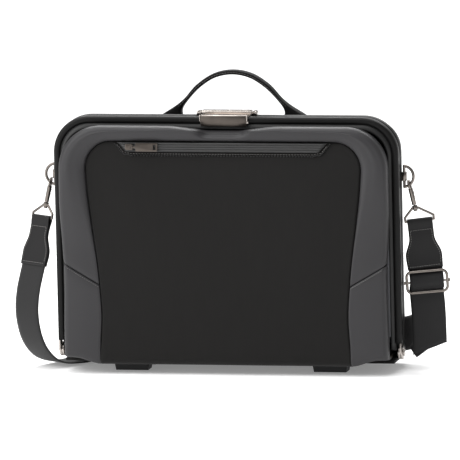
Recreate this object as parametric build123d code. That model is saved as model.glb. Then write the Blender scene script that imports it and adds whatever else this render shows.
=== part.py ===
"""Soft laptop briefcase with a hinged gate frame, combination latch, zip pocket and shoulder strap.

Millimetres, +Z up, the front faces -Y. The parting plane of the two frame halves is y = 0 while the
pieces are modelled, and export() moves them all so that the origin is the centre of the base.
"""
from build123d import *
import math
import os

# ---- driving dimensions -------------------------------------------------------------------------
CENTRE_SHIFT = -33.0          # parting plane, measured from the centre of the whole depth

FRAME_HALF_WIDTH = 207.5      # outer side of the leather-wrapped frame
FRAME_TOP = 304.0
FRAME_FOOT = 36.0             # lower end of the frame's legs
FRAME_CORNER = 44.0
FRAME_THICK = 9.0
FRAME_DEPTH = 12.7            # depth of one half
PARTING = 0.3                 # each half stops this far from the parting plane
CORE_INSET = 3.5
CORE_THICK = 2.0
CORE_DEPTH = 8.0

PIVOT_Z = 24.0                # frame hinge, at the parting plane
RIVET_RADIUS = 2.5
OPEN_ANGLE = 30.0             # full opening of the front half
SOFT_ANGLE = OPEN_ANGLE + 2.0  # below this slope the front half is soft

SHELL_HALF_WIDTH = 198.0
SHELL_TOP = 293.0
SHELL_CORNER = 36.0
SHELL_WALL = 3.0
SHELL_JOIN = 13.0             # both shells start this far from the parting plane
BASE_Z = 12.0                 # underside of the bag, above its feet
FRONT_TOP_Y = -28.5           # the front face leans: its y at PANEL_TOP ...
FRONT_LOW_Y = -37.5           # ... and its y at FRONT_LOW_Z
FRONT_LOW_Z = 30.0
FRONT_ROUND = 14.0
REAR_Y = 70.0
REAR_ROUND = 14.0

PANEL_TOP = 277.0
SEAM_INNER = (150.5, 103.0)   # diagonal side seam, at the fabric panel
SEAM_OUTER = (207.5, 137.0)   # and past the shell's side

FOOT_X = 119.5
FOOT_ROWS = (3.0, 44.0)
FOOT_TOP = (42.5, 24.0)
FOOT_SOLE = (39.0, 20.0)
SCREW_TIP = 17.5

HANDLE_Y = 42.0
HANDLE_DEPTH = 16.0
HANDLE_AXIS_Z = 305.4
HANDLE_GAP = 0.4
PATCH_THICK = 3.6

LOCK_HALF = 29.5
DIAL_PITCH = 16.2
DIAL_RADIUS = 4.2
DIAL_THICK = 3.4
DIAL_AXIS = (6.5, 306.0)      # y, z
LATCH_PIN = (-16.4, 304.2)    # y, z
LATCH_HALF = 27.4             # half width of the latch plate
CHEEK = 1.2                   # thickness of the bracket's side cheeks

RING_BAR_X = 210.4
RING_Y = 8.0
RING_Z = 232.0
RING_WIRE = 1.7
RING_HALF = 12.5
RING_REACH = 11.0

WEB_WIDTH = 40.0
WEB_THICK = 2.0
TAB_THICK = 4.0
TAB_LENGTH = 57.5

ZIP_Z = 270.3
ZIP_HALF_HEIGHT = 5.6
TAPE_THICK = 1.2
SLIDER_X = -111.5
PULL_PIN_X = -107.0
PULL_PIN_Y = FRONT_TOP_Y - 6.3   # on the upright face, before it leans

HOOK_AXIS_X = 0.23            # lean of the hanging hook, outward per unit of drop
HOOK_EYE = (216.4, RING_Y, 221.8)
BOW_RADIUS = 5.3
BOW_WIRE = 1.3
PIN_WIRE = 1.1
BARREL = 2.7
SWIVEL_STEM = 1.3

FOLD = (236.0, 14.0, 26.4)    # middle of the right webbing's fold line
FOLD_SLOPE = 20.0
ADJUSTER_DROP = 72.5          # below the tab's bar, along the webbing
ADJUSTER_TILT = -2.0
# left webbing from the tab to the floor: backward of the tab's bar and height
LEFT_FALL = [(-25, 95), (-28, 70), (-24, 46), (-15, 27), (0, 12), (19, 4.2), (44, 1.5)]

RUN_FIT = 0.05                # running clearance on a pin, on the radius


# ---- helpers ------------------------------------------------------------------------------------
def export(shape, name):
    """Write one sub-part, moved so that the origin is the centre of the base."""
    export_step(Pos(0, CENTRE_SHIFT, 0) * shape, f"parts/{name}.step")


def block(x0, x1, y0, y1, z0, z1):
    """Box from its two corners."""
    centre = Pos((x0 + x1) / 2, (y0 + y1) / 2, (z0 + z1) / 2)
    return centre * Box(x1 - x0, y1 - y0, z1 - z0)


def rod(start, end, radius):
    """Cylinder between two points."""
    a, b = Vector(*start), Vector(*end)
    return extrude(Plane(origin=a, z_dir=b - a) * Circle(radius), amount=(b - a).length)


def upright(sketch, y_front, y_back):
    """Extrude a sketch drawn in X and Z from one y to another."""
    face = Plane(origin=(0, y_front, 0), x_dir=(1, 0, 0), z_dir=(0, -1, 0)) * sketch
    return extrude(face, amount=y_back - y_front, dir=(0, 1, 0))


def door(half_width, top, corner, bottom):
    """Door-shaped sketch: square at the bottom, round top corners."""
    sheet = Pos(0, (top + bottom) / 2) * Rectangle(2 * half_width, top - bottom)
    return fillet(sheet.vertices().group_by(Axis.Y)[-1], corner)


def polygon(points):
    """Flat face from its corners."""
    return make_face(Polyline(*points, close=True))


def both_sides(shape):
    """A shape on the right and its mirror image on the left."""
    return shape + mirror(shape, about=Plane.YZ)


def one(shape):
    """The single solid of a boolean result."""
    return shape.solids()[0] if len(shape.solids()) == 1 else shape


# ---- gate frame ---------------------------------------------------------------------------------
def frame_band(inset, thick):
    """Inverted-U band, inset from the frame's outer line."""
    outer = door(FRAME_HALF_WIDTH - inset, FRAME_TOP - inset, FRAME_CORNER - inset, FRAME_FOOT)
    inner_inset = inset + thick
    inner = door(FRAME_HALF_WIDTH - inner_inset, FRAME_TOP - inner_inset, FRAME_CORNER - inner_inset, 0)
    return outer - inner


def frame_half(side):
    """Steel core and leather wrap of one half: side is -1 for the front, 1 for the rear."""
    near, far = PARTING, PARTING + FRAME_DEPTH
    y0, y1 = (near, far) if side > 0 else (-far, -near)
    wrap = upright(frame_band(0, FRAME_THICK), y0, y1)
    rim = wrap.edges().group_by(Axis.Y)[-1 if side > 0 else 0].filter_by(lambda e: e.center().Z > FRAME_FOOT + 1)
    wrap = fillet(rim, 3.0)
    middle = (y0 + y1) / 2
    core = upright(frame_band(CORE_INSET, CORE_THICK), middle - CORE_DEPTH / 2, middle + CORE_DEPTH / 2)
    return core, one(wrap - core)


def hinge_leaves(side):
    """Pair of riveted steel leaves under one frame half."""
    inner_x = 201.6 if side > 0 else 204.3
    leaf_thick = 2.4
    disc = rod((inner_x, 0, PIVOT_Z), (inner_x + leaf_thick, 0, PIVOT_Z), 8.5)
    y0, y1 = sorted((side * 1.0, side * 12.0))
    leaf = disc + block(inner_x, inner_x + leaf_thick, y0, y1, PIVOT_Z, FRAME_FOOT)
    bore = RIVET_RADIUS + (RUN_FIT if side < 0 else 0)
    leaf -= rod((inner_x - 1, 0, PIVOT_Z), (inner_x + leaf_thick + 1, 0, PIVOT_Z), bore)
    return both_sides(leaf)


def hinge_rivets():
    """Rivets that the two frame halves turn on."""
    shank = rod((201.6, 0, PIVOT_Z), (206.9, 0, PIVOT_Z), RIVET_RADIUS)
    inner_head = rod((200.4, 0, PIVOT_Z), (201.6, 0, PIVOT_Z), 4.5)
    outer_head = rod((206.9, 0, PIVOT_Z), (208.1, 0, PIVOT_Z), 4.5)
    return both_sides(shank + inner_head + outer_head)


# ---- shells -------------------------------------------------------------------------------------
def front_plane(offset):
    """Leaning plane of the front face, moved back into the bag by offset."""
    rise, run = PANEL_TOP - FRONT_LOW_Z, FRONT_TOP_Y - FRONT_LOW_Y
    inward = Vector(0, rise, -run).normalized()
    return Plane(origin=Vector(0, FRONT_TOP_Y, PANEL_TOP) + inward * offset, z_dir=inward)


def front_block(inset):
    """Outer form of the front half, or its cavity when inset by the wall."""
    body = door(SHELL_HALF_WIDTH - inset, SHELL_TOP - inset, SHELL_CORNER - inset, BASE_Z + inset)
    back = -SHELL_JOIN + (1 if inset else 0)
    solid = split(upright(body, -60, back), bisect_by=front_plane(inset), keep=Keep.TOP)
    return fillet(solid.faces().sort_by(Axis.Y)[0].edges(), FRONT_ROUND - inset)


def rear_block(inset):
    """Outer form of the rear half, or its cavity when inset by the wall."""
    body = door(SHELL_HALF_WIDTH - inset, SHELL_TOP - inset, SHELL_CORNER - inset, BASE_Z + inset)
    solid = upright(body, SHELL_JOIN - (1 if inset else 0), REAR_Y - inset)
    return fillet(solid.faces().sort_by(Axis.Y)[-1].edges(), REAR_ROUND - inset)


def panel_region():
    """Outline of the fabric front panel, from its rounded top to below the base."""
    top = Line((0, PANEL_TOP), (134, PANEL_TOP))
    corner = ThreePointArc(top @ 1, (157, 267), (166, 244))
    side = Spline(corner @ 1, (159, 175), SEAM_INNER, (148.5, 70), (153, 5))
    base = Line(side @ 1, (0, 5))
    half = make_face([top, corner, side, base, Line(base @ 1, top @ 0)])
    return upright(half + mirror(half, about=Plane.YZ), -60, 0)


def soft_region():
    """Everything of the front half below the slope through the pivot."""
    rise = 80 * math.tan(math.radians(SOFT_ANGLE))
    wedge = Plane.YZ * polygon([(0, PIVOT_Z), (-80, PIVOT_Z + rise), (-80, 0), (0, 0)])
    return extrude(wedge, amount=220, both=True)


def lower_side_region():
    """Side areas below the diagonal seams, on the right."""
    return upright(polygon([SEAM_INNER, SEAM_OUTER, (SEAM_OUTER[0], 0), (140, 0), (140, SEAM_INNER[1])]), -60, 0)


def thumb_recess():
    """Scoop in the surround under the latch plate."""
    return Pos(0, -18, SHELL_TOP + 13) * Sphere(22)


def front_shells():
    """Surround, lower side panels, fabric panel and the soft skirt of the front half."""
    shell = front_block(0) - front_block(SHELL_WALL)
    skirt = one(shell & soft_region())
    rigid = shell - soft_region()
    panel = one(rigid & panel_region())
    leather = rigid - panel_region() - thumb_recess()
    sides = both_sides(lower_side_region())
    lower = leather & sides
    right = [s for s in lower.solids() if s.center().X > 0][0]
    left = [s for s in lower.solids() if s.center().X < 0][0]
    return one(leather - sides), left, right, panel, skirt


def rear_shells():
    """Rear gusset, back panel and bottom panel."""
    shell = rear_block(0) - rear_block(SHELL_WALL)
    bottom_zone = block(-210, 210, -20, REAR_Y + 5, 0, BASE_Z + SHELL_WALL)
    back_zone = upright(door(182, 279, 24, BASE_Z + SHELL_WALL), REAR_Y - SHELL_WALL, REAR_Y + 1)
    bottom = (shell & bottom_zone) + block(
        -SHELL_HALF_WIDTH, SHELL_HALF_WIDTH, -SHELL_JOIN, SHELL_JOIN, BASE_Z, BASE_Z + SHELL_WALL
    )
    upper = shell - bottom_zone
    return one(upper - back_zone), one(upper & back_zone), one(bottom)


def side_gusset():
    """Folded fabric stay between the two frame halves, on the right."""
    return block(190, 194, -5, 5, 44, 236)


# ---- inside -------------------------------------------------------------------------------------
def pocket_bag():
    """Flat pouch behind the zip, open at its top, leaning with the front panel."""
    outer = block(-118, 118, FRONT_TOP_Y + 3.3, FRONT_TOP_Y + 12.0, 80, 258)
    inner = block(-117, 117, FRONT_TOP_Y + 4.3, FRONT_TOP_Y + 11.0, 81, 260)
    return lean(outer - inner)


def lean(shape):
    """Turn a shape drawn on an upright front face so that it lies along the leaning one."""
    angle = math.degrees(math.atan2(FRONT_TOP_Y - FRONT_LOW_Y, PANEL_TOP - FRONT_LOW_Z))
    hinge = Pos(0, FRONT_TOP_Y, PANEL_TOP)
    return hinge * Rot(-angle, 0, 0) * Pos(0, -FRONT_TOP_Y, -PANEL_TOP) * shape


# ---- feet and fasteners -------------------------------------------------------------------------
def foot_places():
    """Name and centre of each foot."""
    for row, y in zip(("front", "rear"), FOOT_ROWS):
        for side, x in (("left", -FOOT_X), ("right", FOOT_X)):
            yield f"foot_{row}_{side}", x, y


def foot(x, y):
    """Moulded foot, wider at the top."""
    return loft([Pos(x, y, 0) * Rectangle(*FOOT_SOLE), Pos(x, y, BASE_Z) * Rectangle(*FOOT_TOP)])


def foot_screw(x, y):
    """Screw up through a foot, its head sunk in the sole."""
    return rod((x, y, 3.0), (x, y, 5.0), 4.0) + rod((x, y, 5.0), (x, y, SCREW_TIP), 2.0)


def foot_bore(x, y):
    """Counterbored hole that a foot screw fills."""
    return rod((x, y, -1.0), (x, y, 5.0), 4.0) + rod((x, y, 5.0), (x, y, SCREW_TIP), 2.0)


# ---- handle -------------------------------------------------------------------------------------
def arch_points(half, apex_z):
    """Points of a symmetric arch from left to right, from its right half below the apex."""
    return [(-x, z) for x, z in half] + [(0, apex_z)] + half[::-1]


def handle():
    """Arched leather handle with flared ends, rounded about its folding axis."""
    inner_edge = [(62.2, 306), (55, 315.5), (41, 330), (27, 341)]
    outer_edge = [(87, 297), (68, 310.2), (58.4, 318.5), (44.6, 333), (27.3, 345.8)]
    inner = Spline(*arch_points(inner_edge, 347.2), tangents=((0, 1), (0, -1)))
    outer = Spline(*reversed(arch_points(outer_edge, 352.9)), tangents=((-1, 0.3), (-1, -0.3)))
    base_right = Polyline(inner @ 1, (62.2, 297), outer @ 0)
    base_left = Polyline(outer @ 1, (-62.2, 297), inner @ 0)
    arch = upright(
        make_face([inner, base_right, outer, base_left]), HANDLE_Y - HANDLE_DEPTH / 2, HANDLE_Y + HANDLE_DEPTH / 2
    )
    below = block(-100, 100, 0, 90, 280, HANDLE_AXIS_Z)
    roll = rod((-100, HANDLE_Y, HANDLE_AXIS_Z), (100, HANDLE_Y, HANDLE_AXIS_Z), HANDLE_DEPTH / 2)
    return one((arch - below) + (arch & below & roll))


def handle_patch():
    """Leather patch that one end of the handle is sewn to, on the right."""
    top = HANDLE_AXIS_Z - HANDLE_DEPTH / 2 - HANDLE_GAP
    return block(55, 95, HANDLE_Y - 16, HANDLE_Y + 16, SHELL_TOP, top)


def patch_rivets():
    """Two rivets through the right patch and the gusset under it."""
    top = HANDLE_AXIS_Z - HANDLE_DEPTH / 2 - HANDLE_GAP
    rivets = [
        rod((x, HANDLE_Y, SHELL_TOP - SHELL_WALL - 1.0), (x, HANDLE_Y, SHELL_TOP - SHELL_WALL), 3.5)
        + rod((x, HANDLE_Y, SHELL_TOP - SHELL_WALL), (x, HANDLE_Y, top), 1.5)
        for x in (64, 86)
    ]
    return rivets[0] + rivets[1]


# ---- lock and latch -----------------------------------------------------------------------------
def lock_cavity():
    """Space for the dials, in the housing and in the frame wrap under it."""
    return block(-27, 27, 1.9, 11.1, DIAL_AXIS[1] - DIAL_RADIUS - 0.5, 308.4)


def lock_housing():
    """Cast cover on the rear frame half, with a slot over each dial."""
    y, z = DIAL_AXIS
    cover = block(-LOCK_HALF, LOCK_HALF, 0.5, 12.5, FRAME_TOP, 309.6)
    cover = fillet(cover.edges().filter_by(Axis.X).group_by(Axis.Z)[-1], 1.2)
    for x in dial_places():
        cover -= block(x - 2.0, x + 2.0, 2.6, 10.4, 306, 311)
    cover -= rod((-28.5, y, z), (28.5, y, z), 1.2)
    return one(cover - lock_cavity())


def dial_places():
    """Centre of each dial along the lock."""
    return [n * DIAL_PITCH for n in (-1, 0, 1)]


def dial(x):
    """Thumb wheel with ten shallow flutes."""
    y, z = DIAL_AXIS
    wheel = rod((x - DIAL_THICK / 2, y, z), (x + DIAL_THICK / 2, y, z), DIAL_RADIUS)
    for n in range(10):
        turn = math.radians(36 * n + 18)
        fy, fz = y + (DIAL_RADIUS + 0.5) * math.sin(turn), z + (DIAL_RADIUS + 0.5) * math.cos(turn)
        wheel -= rod((x - 2, fy, fz), (x + 2, fy, fz), 0.8)
    return one(wheel - rod((x - 2, y, z), (x + 2, y, z), 1.2 + RUN_FIT))


def release_button(side):
    """Sliding thumb piece at one end of the lock."""
    x0, x1 = sorted((side * 30.2, side * 36.2))
    button = block(x0, x1, 2.0, 11.0, FRAME_TOP + 0.3, 309.2)
    return fillet(button.edges().filter_by(Axis.Y).group_by(Axis.Z)[-1], 2.4)


def latch_base():
    """Bracket on the front frame half that carries the latch plate's pin."""
    y, z = LATCH_PIN
    front = -(PARTING + FRAME_DEPTH)
    half = LATCH_HALF + 0.3 + CHEEK
    bracket = block(-half, half, front - 1.0, front, 296, z + 2.4)
    bracket += block(-half, half, front - 1.0, -1.2, FRAME_TOP, FRAME_TOP + 1.0)
    for x in (-half, half - CHEEK):
        bracket += block(x, x + CHEEK, y - 2.4, front, z - 5, z + 2.4)
    return one(bracket - rod((-half - 1, y, z), (half + 1, y, z), 1.0))


def latch_pin():
    """Pin that the latch plate turns on."""
    y, z = LATCH_PIN
    half = LATCH_HALF + 0.3 + CHEEK
    return rod((-half, y, z), (half, y, z), 1.0)


def latch_plate():
    """Front plate that lifts on its pin."""
    y, z = LATCH_PIN
    plate = block(-LATCH_HALF, LATCH_HALF, y - 2.0, y - 0.4, SHELL_TOP + 0.5, z)
    plate += rod((-LATCH_HALF, y, z), (LATCH_HALF, y, z), 2.0)
    return one(plate - rod((-28, y, z), (28, y, z), 1.0 + RUN_FIT))


# ---- zip ----------------------------------------------------------------------------------------
def zip_tape():
    """Water-resistant zip on the front panel, with slanted ends."""
    z0, z1 = ZIP_Z - ZIP_HALF_HEIGHT, ZIP_Z + ZIP_HALF_HEIGHT
    outline = polygon([(-126, z1), (126, z1), (116, z0), (-116, z0)])
    return lean(upright(outline, FRONT_TOP_Y - TAPE_THICK, FRONT_TOP_Y))


def zip_slider():
    """Slider body with two lugs and the pull's pin."""
    front = FRONT_TOP_Y - TAPE_THICK - 0.4
    slider = block(SLIDER_X - 4.5, SLIDER_X + 4.5, front - 3.0, front, ZIP_Z - 3.6, ZIP_Z + 3.6)
    slider = fillet(slider.edges().filter_by(Axis.Y), 1.5)
    for z in (ZIP_Z - 2.5, ZIP_Z + 1.5):
        slider += block(PULL_PIN_X - 1.5, PULL_PIN_X + 1.5, PULL_PIN_Y - 1.3, front - 3.0, z, z + 1.0)
    slider += rod((PULL_PIN_X, PULL_PIN_Y, ZIP_Z - 2.5), (PULL_PIN_X, PULL_PIN_Y, ZIP_Z + 2.5), 0.7)
    return lean(one(slider))


def zip_pull():
    """Flat pull tab with a slot near its free end."""
    end = PULL_PIN_X + 30.5
    eye = rod((PULL_PIN_X, PULL_PIN_Y, ZIP_Z - 1.2), (PULL_PIN_X, PULL_PIN_Y, ZIP_Z + 1.2), 1.4)
    neck = block(PULL_PIN_X, PULL_PIN_X + 5, PULL_PIN_Y - 0.8, PULL_PIN_Y + 0.8, ZIP_Z - 1.2, ZIP_Z + 1.2)
    plate = block(PULL_PIN_X + 4, end, PULL_PIN_Y - 0.8, PULL_PIN_Y + 0.8, ZIP_Z - 5.0, ZIP_Z + 5.0)
    plate = fillet(plate.edges().filter_by(Axis.Y), 1.0)
    slot = block(end - 5.2, end - 2.0, PULL_PIN_Y - 2, PULL_PIN_Y + 2, ZIP_Z - 3.0, ZIP_Z + 3.0)
    pin = rod((PULL_PIN_X, PULL_PIN_Y, ZIP_Z - 2), (PULL_PIN_X, PULL_PIN_Y, ZIP_Z + 2), 0.7 + RUN_FIT)
    return lean(one(eye + neck + plate - slot - pin))


# ---- strap hardware -----------------------------------------------------------------------------
def d_ring(side):
    """D-shaped wire ring with its straight bar upright."""
    x = side * RING_BAR_X
    low, high = (x, RING_Y, RING_Z - RING_HALF), (x, RING_Y, RING_Z + RING_HALF)
    bow = ThreePointArc(high, (x + side * RING_REACH, RING_Y, RING_Z), low)
    ring = rod(low, high, RING_WIRE)
    ring += sweep(Plane(origin=bow @ 0, z_dir=bow % 0) * Circle(RING_WIRE), path=bow)
    for end in (low, high):
        ring += Pos(*end) * Sphere(RING_WIRE)
    return one(ring)


def ring_keeper(side):
    """Lug on the rear frame half that the ring's bar turns in."""
    x = side * RING_BAR_X
    x0, x1 = sorted((side * FRAME_HALF_WIDTH, side * (RING_BAR_X + 3.0)))
    lug = block(x0, x1, RING_Y - 3.2, RING_Y + 3.2, RING_Z - 5, RING_Z + 5)
    lug = fillet(lug.edges().filter_by(Axis.Z).group_by(Axis.X)[-1 if side > 0 else 0], 2.5)
    return one(lug - rod((x, RING_Y, RING_Z - 6), (x, RING_Y, RING_Z + 6), RING_WIRE + RUN_FIT))


def hook_frame(side):
    """Plane whose origin is the hook's eye and whose z runs down the hook."""
    down = Vector(side * HOOK_AXIS_X, 0, -1).normalized()
    eye = Vector(side * HOOK_EYE[0], HOOK_EYE[1], HOOK_EYE[2])
    return Plane(origin=eye, x_dir=(0, 1, 0), z_dir=down)


def hook(side):
    """Bolt-snap body: open bow, barrel with the bolt's guide, and the swivel stem."""
    bow_plane = Plane(origin=(0, 0, 0), x_dir=(1, 0, 0), z_dir=(0, -1, 0))
    bow = bow_plane * CenterArc((0, 0), BOW_RADIUS, 90, 265)
    path = bow.edges()[0] if hasattr(bow, "edges") else bow
    body = sweep(Plane(origin=path @ 0, z_dir=path % 0) * Circle(BOW_WIRE), path=path)
    body += rod((0, 0, BOW_RADIUS - 1.0), (0, 0, 24.0), BARREL)
    body += block(0, BOW_RADIUS + 2.0, -1.9, 1.9, 9.0, 12.0)
    body += rod((0, 0, 24.0), (0, 0, 31.0), SWIVEL_STEM)
    body += rod((0, 0, 30.2), (0, 0, 31.6), 2.3)
    body -= rod((BOW_RADIUS, 0, 8.0), (BOW_RADIUS, 0, 13.0), PIN_WIRE + RUN_FIT)
    return hook_frame(side) * one(body)


def hook_bolt(side):
    """Sprung bolt that closes the bow, with its thumb knob."""
    bolt = rod((BOW_RADIUS, 0, 0.9), (BOW_RADIUS, 0, 14.0), PIN_WIRE)
    bolt += rod((BOW_RADIUS, 0, 14.0), (BOW_RADIUS, 0, 16.5), 1.9)
    return hook_frame(side) * one(bolt)


def strap_sides():
    """For each side: its sign, width direction and fall direction of the strap's tab."""
    left_turn, right_turn = math.radians(-35), math.radians(12)
    left_w = Vector(math.cos(left_turn), math.sin(left_turn), 0)
    right_w = Vector(math.cos(right_turn), math.sin(right_turn), 0)
    left_h = Vector(-left_w.Y, left_w.X, 0)
    left_fall = (left_h * -0.28 + Vector(0, 0, -1)).normalized()
    right_fall = (right_w * 0.10 + Vector(0, 0, -1)).normalized()
    right_w = (right_w - right_fall * right_w.dot(right_fall)).normalized()
    return {-1: (left_w, left_fall), 1: (right_w, right_fall)}


def bar_centre(side):
    """Middle of the swivel loop's bar, that the leather tab hangs on."""
    return Vector(side * 227.6, RING_Y + (1.0 if side > 0 else 0.0), 179.6)


def tab_plane(side):
    """Plane of one tab: x across it, y up it, origin on the bar."""
    width, fall = strap_sides()[side]
    return Plane(origin=bar_centre(side), x_dir=width, z_dir=fall.cross(width))


def swivel_loop(side):
    """Eye on the hook's stem and the wire loop under it that holds the tab."""
    frame = hook_frame(side)
    eye = frame * (rod((0, 0, 25.0), (0, 0, 29.8), 3.3) - rod((0, 0, 24), (0, 0, 31), SWIVEL_STEM + RUN_FIT))
    width, fall = strap_sides()[side]
    bar = bar_centre(side)
    wire = 1.5
    ends = [bar + width * n * 16.8 for n in (-1, 1)]
    shoulders = [bar + width * n * 16.8 - fall * 5.0 for n in (-1, 1)]
    neck = [frame.from_local_coords(Vector(0, 0, 27.4)) + width * n * 3.0 for n in (-1, 1)]
    loop = eye + rod(ends[0], ends[1], wire)
    for n in (0, 1):
        loop += rod(neck[n], shoulders[n], wire) + rod(shoulders[n], ends[n], wire)
        loop += Pos(*shoulders[n]) * Sphere(wire) + Pos(*ends[n]) * Sphere(wire)
    clear = frame * rod((0, 0, 23.9), (0, 0, 32.2), SWIVEL_STEM + RUN_FIT)
    clear += frame * rod((0, 0, 29.9), (0, 0, 32.2), 2.7)
    return one(loop - clear)


def strap_tab(side):
    """Leather tab folded over the bar and widening to the webbing."""
    outline = polygon([
        (-15, -1.5), (15, -1.5), (15.5, -24), (22, -39), (22, -TAB_LENGTH), (-22, -TAB_LENGTH), (-22, -39), (-15.5, -24),
    ])
    plane = tab_plane(side)
    tab = extrude(plane * outline, amount=TAB_THICK / 2, both=True)
    width, _ = strap_sides()[side]
    bar = bar_centre(side)
    tab += rod(bar - width * 14.8, bar + width * 14.8, 3.0)
    return one(tab - rod(bar - width * 20, bar + width * 20, 1.5 + RUN_FIT))


def ribbon(stations):
    """Webbing through rectangles, each given by its centre, heading and width direction."""
    sections = [Plane(origin=c, x_dir=w, z_dir=t) * Rectangle(WEB_WIDTH, WEB_THICK) for c, t, w in stations]
    return loft(sections, ruled=True)


def stations_along(route, first_heading):
    """Centre, heading and width direction at each point of a strap's route of (point, width) pairs."""
    result = []
    for n, (point, width) in enumerate(route):
        before, after = route[max(n - 1, 0)][0], route[min(n + 1, len(route) - 1)][0]
        heading = (after - before).normalized() if n else first_heading
        result.append((point, heading, (width - heading * width.dot(heading)).normalized()))
    return result


def tab_end(side):
    """Where the webbing leaves the tab, and its direction there."""
    _, fall = strap_sides()[side]
    return bar_centre(side) + fall * (TAB_LENGTH + 0.1), fall


def left_stations():
    """Webbing from the left tab to the floor, then behind the bag, where it turns up on its edge."""
    width, _ = strap_sides()[-1]
    back = Vector(-width.Y, width.X, 0)
    bar = bar_centre(-1)
    start, fall = tab_end(-1)
    up = Vector(0, 0, 1)
    route = [(start, width)]
    route += [(bar + back * s + Vector(0, 0, z - bar.Z), width) for s, z in LEFT_FALL]
    route += [
        (Vector(-190, 68, 1.5), width),
        (Vector(-163, 84, 4.5), Vector(0.5, -0.84, 0.12)),
        (Vector(-124, 88, 14.5), Vector(0.15, -0.75, 0.65)),
        (Vector(-70, 81, 21), up),
        (Vector(0, 77, 20.5), up),
        (Vector(80, 75, 21), up),
        (Vector(150, 79, 25), Vector(0, 0.12, 1)),
        (Vector(196, 77, 32), Vector(0, 0.12, 1)),
        (Vector(213, 56, 42), Vector(0.15, 0, 1)),
        (Vector(218, 39, 44), Vector(0.35, 0, 0.94)),
        (Vector(224.5, 26, 34.5), Vector(0.75, 0, 0.66)),
        (Vector(234, 19, 27.5), Vector(0.94, 0, 0.342)),
    ]
    return stations_along(route, fall)


def right_drop():
    """Hanging webbing on the right, cut to its slanted fold above the floor."""
    start, fall = tab_end(1)
    width, _ = strap_sides()[1]
    middle = [Vector(*FOLD) + Vector(-2.5, -2, 74), Vector(*FOLD) + Vector(-0.5, -1, 40)]
    below = Vector(*FOLD) - Vector(0, 0, 20)
    drop = ribbon(stations_along([(p, width) for p in [start] + middle + [below]], fall))
    slope = math.radians(FOLD_SLOPE)
    fold = Plane(origin=FOLD, z_dir=(-math.sin(slope), 0, math.cos(slope)))
    return split(drop, bisect_by=fold, keep=Keep.TOP)


def adjuster_plane():
    """Plane of the slide adjuster: x across the webbing, y up it, just in front of the webbing."""
    width, fall = strap_sides()[1]
    tilted = (width - fall * math.tan(math.radians(ADJUSTER_TILT))).normalized()
    up = (tilted.cross(fall)).cross(tilted) * -1
    normal = tilted.cross(up)
    start, _ = tab_end(1)
    return Plane(origin=start + fall * (ADJUSTER_DROP - TAB_LENGTH) + normal * 4.2, x_dir=tilted, z_dir=normal)


def adjuster_ring():
    """Rectangular wire ring in front of the webbing."""
    plane = adjuster_plane()
    half_w, half_h, corner = 23.8, 12.5, 6.0
    route = fillet(Rectangle(2 * half_w, 2 * half_h).vertices(), corner).wire()
    start = route @ 0
    ring = sweep(Plane(origin=start, z_dir=route % 0) * Circle(1.7), path=route)
    ring -= rod((-30, 0, 0), (30, 0, 0), 1.3)
    return plane * one(ring)


def adjuster_bar():
    """Centre bar riveted through the ring."""
    plane = adjuster_plane()
    bar = rod((-26.0, 0, 0), (26.0, 0, 0), 1.3)
    for x in (-27.6, 25.6):
        bar += rod((x, 0, 0), (x + 2.0, 0, 0), 2.0)
    return plane * one(bar)


def adjuster_wrap():
    """End of the webbing sewn round the centre bar."""
    plane = adjuster_plane()
    wrap = rod((-20, 0, 0), (20, 0, 0), 2.6) - rod((-21, 0, 0), (21, 0, 0), 1.3)
    return plane * one(wrap)


# ---- write everything ---------------------------------------------------------------------------
def main():
    os.makedirs("parts", exist_ok=True)
    export_frame()
    export_shells()
    export_inside()
    export_top()
    export_zip()
    export_strap()


def export_frame():
    front_core, front_wrap = frame_half(-1)
    rear_core, rear_wrap = frame_half(1)
    export(front_core, "front_frame_core")
    export(front_wrap, "front_frame_wrap")
    export(rear_core, "rear_frame_core")
    export(one(rear_wrap - lock_cavity()), "rear_frame_wrap")
    export(hinge_leaves(-1), "hinge_leaves_front")
    export(hinge_leaves(1), "hinge_leaves_rear")
    export(hinge_rivets(), "hinge_rivets")
    export(ring_keeper(-1) + ring_keeper(1), "ring_keepers")


def export_shells():
    surround, left, right, panel, skirt = front_shells()
    export(surround, "front_surround")
    export(left, "lower_side_left")
    export(right, "lower_side_right")
    export(panel, "front_panel")
    export(skirt, "front_skirt")
    gusset, back, bottom = rear_shells()
    board = block(-190, 190, -6, 55.5, BASE_Z + SHELL_WALL, BASE_Z + 6)
    for name, x, y in foot_places():
        export(one(foot(x, y) - foot_bore(x, y)), name)
        bottom -= foot_bore(x, y)
        board -= foot_bore(x, y)
    for rivets in (patch_rivets(), mirror(patch_rivets(), about=Plane.YZ)):
        gusset -= rivets
    export(one(gusset), "rear_gusset")
    export(back, "back_panel")
    export(one(bottom), "bottom_panel")
    export(one(board), "base_board")
    export(Part() + [foot_screw(x, y) for _, x, y in foot_places()], "foot_screws")
    export(side_gusset(), "side_gusset_right")
    export(mirror(side_gusset(), about=Plane.YZ), "side_gusset_left")


def export_inside():
    export(upright(door(184, 279, 24, 24), 64.5, 66.5), "rear_lining")
    export(upright(door(180, 242.6, 20, BASE_Z + 6), 50, 54), "laptop_divider")
    export(upright(door(188, 284, 28, 48), -15.4, -13.8), "lid_lining")
    export(pocket_bag(), "pocket_bag")


def export_top():
    export(handle(), "handle")
    patch = handle_patch() - patch_rivets()
    export(both_sides(patch), "handle_patches")
    export(both_sides(patch_rivets()), "handle_rivets")
    export(lock_housing(), "lock_housing")
    y, z = DIAL_AXIS
    export(rod((-28.5, y, z), (28.5, y, z), 1.2), "dial_axle")
    for number, x in enumerate(dial_places(), start=1):
        export(dial(x), f"dial_{number}")
    export(release_button(-1), "release_button_left")
    export(release_button(1), "release_button_right")
    export(latch_base(), "latch_base")
    export(latch_pin(), "latch_pin")
    export(latch_plate(), "latch_plate")


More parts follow.
